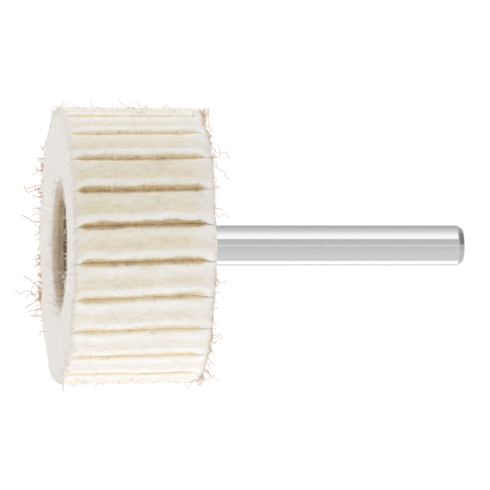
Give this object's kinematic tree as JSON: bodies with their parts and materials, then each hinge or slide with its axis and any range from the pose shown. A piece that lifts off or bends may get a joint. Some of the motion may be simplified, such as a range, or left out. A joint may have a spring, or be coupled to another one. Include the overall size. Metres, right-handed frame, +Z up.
{
  "type": "felt polishing wheel",
  "caption": "Mounted felt flap wheel for polishing: felt flaps stand round a cast resin core on a plain ground steel shank that a collet grips.",
  "frame": {"origin": "centre of the shank's free end face", "axes": "the wheel's axis is Y: +Y points out of the shank's free end, the wheel's recessed front looks along -Y, and +Z is up"},
  "size_m": [0.041, 0.0607, 0.041],
  "materials": {
    "felt": "undyed pressed wool felt with a raised nap",
    "resin": "cast resin, matt, as poured",
    "steel": "centreless ground, bright"
  },
  "bodies": {
    "root": {"felt_flap_01": "felt", "felt_flap_02": "felt", "felt_flap_03": "felt", "felt_flap_04": "felt", "felt_flap_05": "felt", "felt_flap_06": "felt", "felt_flap_07": "felt", "felt_flap_08": "felt", "felt_flap_09": "felt", "felt_flap_10": "felt", "felt_flap_11": "felt", "felt_flap_12": "felt", "felt_flap_13": "felt", "felt_flap_14": "felt", "felt_flap_15": "felt", "felt_flap_16": "felt", "felt_flap_17": "felt", "felt_flap_18": "felt", "felt_flap_19": "felt", "felt_flap_20": "felt", "felt_flap_21": "felt", "felt_flap_22": "felt", "felt_flap_23": "felt", "felt_flap_24": "felt", "resin_core": "resin", "shank": "steel"}
  },
  "joints": []
}
